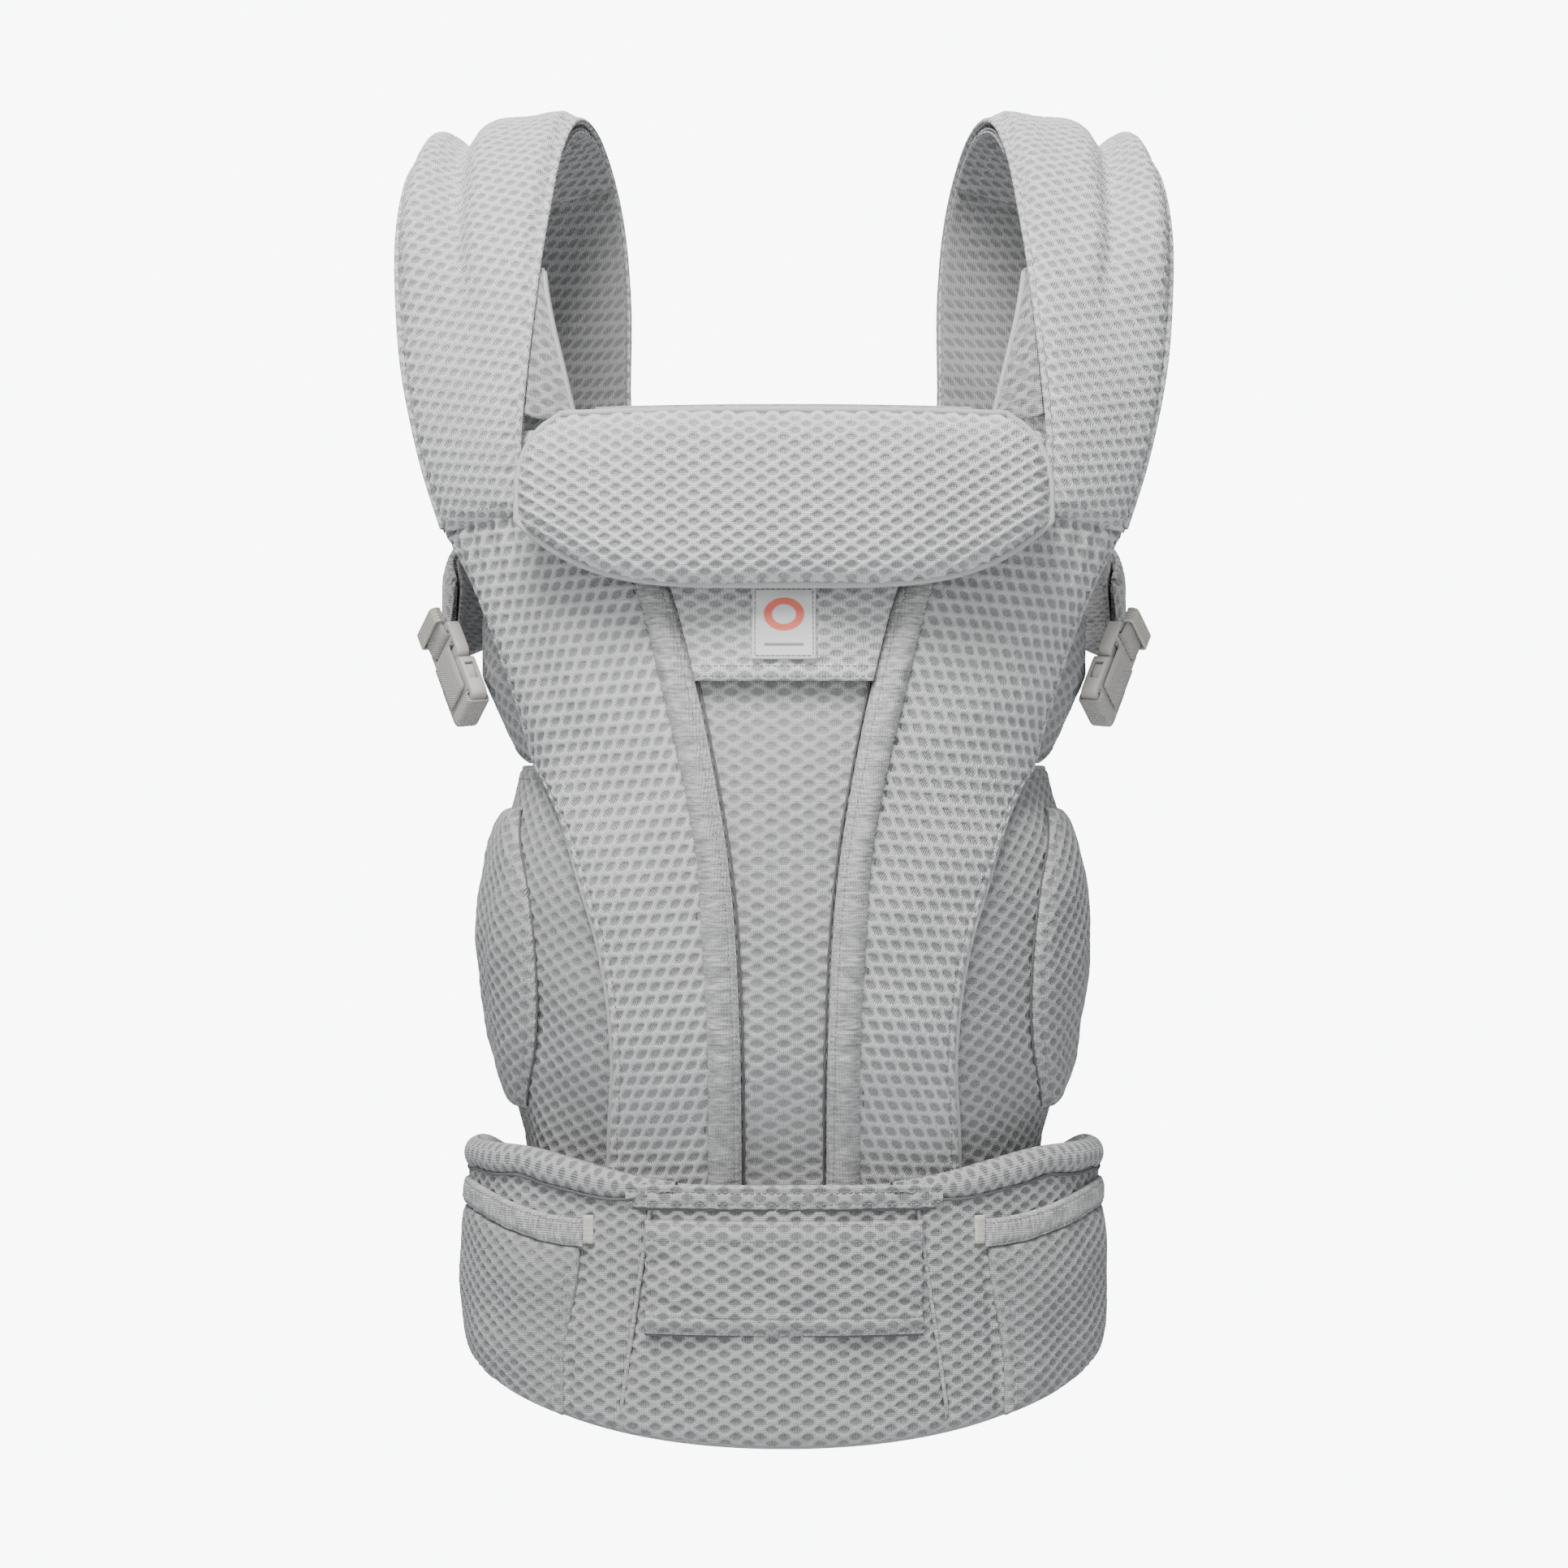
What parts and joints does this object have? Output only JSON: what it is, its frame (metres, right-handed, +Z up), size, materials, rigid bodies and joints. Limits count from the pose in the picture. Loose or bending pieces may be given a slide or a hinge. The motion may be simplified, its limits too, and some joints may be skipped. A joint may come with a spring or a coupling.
{
  "type": "soft baby carrier",
  "caption": "Structured soft baby carrier in its worn shape: padded waist belt, shaped body panel, folding head support, shoulder straps, chest strap and side-release buckles.",
  "frame": {"origin": "centre of the wearer's waist at the middle of the belt's front height", "axes": "+Z up along the wearer, -Y the way the wearer and the panel face, +X to the right as seen from the front"},
  "size_m": [0.4396, 0.3208, 0.7521],
  "materials": {
    "mesh_fabric": "pearl grey air mesh, a lattice of soft ridges round small dimples",
    "knit_fabric": "pearl grey smooth melange knit",
    "lining_fabric": "mid grey spacer mesh lining",
    "hood_fabric": "thin grey woven",
    "foam": "soft closed-cell foam",
    "webbing": "warm grey ribbed webbing",
    "buckle_plastic": "warm grey moulded plastic",
    "label_fabric": "off-white woven label"
  },
  "bodies": {
    "carrier": {"belt_cover": "mesh_fabric", "belt_foam": "foam", "belt_lining": "lining_fabric", "belt_pouch": "mesh_fabric", "centre_mesh": "mesh_fabric", "head_support_hinge_tape": "knit_fabric", "hood_flap": "mesh_fabric", "left_buckle_guard": "mesh_fabric", "left_buckle_plug": "buckle_plastic", "left_chest_rail": "webbing", "left_leg_pad": "mesh_fabric", "left_pocket": "mesh_fabric", "left_pocket_band": "knit_fabric", "left_rail": "knit_fabric", "left_seat_side": "mesh_fabric", "left_socket_web": "webbing", "left_strap_gusset": "mesh_fabric", "left_strap_lining": "lining_fabric", "left_strap_pad": "mesh_fabric", "left_strap_web": "webbing", "left_waist_web": "webbing", "left_wing": "mesh_fabric", "lumbar_pad": "lining_fabric", "panel_lining": "lining_fabric", "right_buckle_guard": "mesh_fabric", "right_buckle_plug": "buckle_plastic", "right_chest_rail": "webbing", "right_leg_pad": "mesh_fabric", "right_pocket": "mesh_fabric", "right_pocket_band": "knit_fabric", "right_rail": "knit_fabric", "right_seat_side": "mesh_fabric", "right_socket_web": "webbing", "right_strap_gusset": "mesh_fabric", "right_strap_lining": "lining_fabric", "right_strap_pad": "mesh_fabric", "right_strap_web": "webbing", "right_waist_web": "webbing", "right_wing": "mesh_fabric", "stowed_hood": "hood_fabric", "waist_buckle_plug": "buckle_plastic", "woven_label": "label_fabric"},
    "head_support": {"head_support": "mesh_fabric"},
    "chest_strap": {"left_chest_slider": "buckle_plastic", "right_chest_slider": "buckle_plastic", "chest_left_web": "webbing", "chest_right_web": "webbing", "chest_buckle_plug": "buckle_plastic"},
    "left_buckle_socket": {"left_buckle_socket": "buckle_plastic"},
    "left_buckle_left_arm": {"left_buckle_left_arm": "buckle_plastic"},
    "left_buckle_right_arm": {"left_buckle_right_arm": "buckle_plastic"},
    "right_buckle_socket": {"right_buckle_socket": "buckle_plastic"},
    "right_buckle_left_arm": {"right_buckle_left_arm": "buckle_plastic"},
    "right_buckle_right_arm": {"right_buckle_right_arm": "buckle_plastic"},
    "chest_buckle_socket": {"chest_buckle_socket": "buckle_plastic"},
    "chest_buckle_left_arm": {"chest_buckle_left_arm": "buckle_plastic"},
    "chest_buckle_right_arm": {"chest_buckle_right_arm": "buckle_plastic"},
    "waist_buckle_socket": {"waist_buckle_socket": "buckle_plastic"},
    "waist_buckle_left_arm": {"waist_buckle_left_arm": "buckle_plastic"},
    "waist_buckle_right_arm": {"waist_buckle_right_arm": "buckle_plastic"}
  },
  "joints": [
    {"name": "head_support_fold", "type": "hinge", "parent": "carrier", "child": "head_support", "pos_m": [0, -0.136, 0.4965], "axis": [-1, 0, 0], "range_deg": [0, 160]},
    {"name": "chest_strap_height", "type": "slide", "parent": "carrier", "child": "chest_strap", "axis": [0, 0, 1], "range_m": [0, 0.045]},
    {"name": "left_buckle_release", "type": "slide", "parent": "carrier", "child": "left_buckle_socket", "axis": [0.3351, -0.4773, -0.8124], "range_m": [0, 0.021], "deforming": ["left_buckle_left_arm", "left_buckle_right_arm", "left_socket_web"]},
    {"name": "left_buckle_left_squeeze", "type": "hinge", "parent": "carrier", "child": "left_buckle_left_arm", "pos_m": [-0.18954, -0.01049, 0.35092], "axis": [-0.8766, -0.474, -0.0832], "range_deg": [0, 15], "stiffness_Nm_per_rad": 0.002},
    {"name": "left_buckle_right_squeeze", "type": "hinge", "parent": "carrier", "child": "left_buckle_right_arm", "pos_m": [-0.18346, -0.02351, 0.36108], "axis": [0.8766, 0.474, 0.0832], "range_deg": [0, 15], "stiffness_Nm_per_rad": 0.002},
    {"name": "right_buckle_release", "type": "slide", "parent": "carrier", "child": "right_buckle_socket", "axis": [-0.3351, -0.4773, -0.8124], "range_m": [0, 0.021], "deforming": ["right_buckle_left_arm", "right_buckle_right_arm", "right_socket_web"]},
    {"name": "right_buckle_left_squeeze", "type": "hinge", "parent": "carrier", "child": "right_buckle_left_arm", "pos_m": [0.18346, -0.02351, 0.36108], "axis": [0.8766, -0.474, -0.0832], "range_deg": [0, 15], "stiffness_Nm_per_rad": 0.002},
    {"name": "right_buckle_right_squeeze", "type": "hinge", "parent": "carrier", "child": "right_buckle_right_arm", "pos_m": [0.18954, -0.01049, 0.35092], "axis": [-0.8766, 0.474, 0.0832], "range_deg": [0, 15], "stiffness_Nm_per_rad": 0.002},
    {"name": "chest_buckle_release", "type": "slide", "parent": "chest_strap", "child": "chest_buckle_socket", "axis": [-1, 0, 0], "range_m": [0, 0.021], "deforming": ["chest_buckle_left_arm", "chest_buckle_right_arm", "chest_left_web"]},
    {"name": "chest_buckle_left_squeeze", "type": "hinge", "parent": "chest_strap", "child": "chest_buckle_left_arm", "pos_m": [0, 0.1329, 0.4872], "axis": [0, 1, 0], "range_deg": [0, 15], "stiffness_Nm_per_rad": 0.002},
    {"name": "chest_buckle_right_squeeze", "type": "hinge", "parent": "chest_strap", "child": "chest_buckle_right_arm", "pos_m": [0, 0.1329, 0.5048], "axis": [0, -1, 0], "range_deg": [0, 15], "stiffness_Nm_per_rad": 0.002},
    {"name": "waist_buckle_release", "type": "slide", "parent": "carrier", "child": "waist_buckle_socket", "axis": [-1, 0, 0], "range_m": [0, 0.0319], "deforming": ["waist_buckle_left_arm", "waist_buckle_right_arm", "left_waist_web"]},
    {"name": "waist_buckle_left_squeeze", "type": "hinge", "parent": "carrier", "child": "waist_buckle_left_arm", "pos_m": [0, 0.13554, 0.02662], "axis": [0, 1, 0], "range_deg": [0, 15], "stiffness_Nm_per_rad": 0.002},
    {"name": "waist_buckle_right_squeeze", "type": "hinge", "parent": "carrier", "child": "waist_buckle_right_arm", "pos_m": [0, 0.13554, 0.05338], "axis": [0, -1, 0], "range_deg": [0, 15], "stiffness_Nm_per_rad": 0.002}
  ],
  "couplings": [
    {"joint": "left_buckle_left_squeeze", "follows": "left_buckle_right_squeeze", "ratio": 1},
    {"joint": "right_buckle_left_squeeze", "follows": "right_buckle_right_squeeze", "ratio": 1},
    {"joint": "chest_buckle_left_squeeze", "follows": "chest_buckle_right_squeeze", "ratio": 1},
    {"joint": "waist_buckle_left_squeeze", "follows": "waist_buckle_right_squeeze", "ratio": 1}
  ]
}
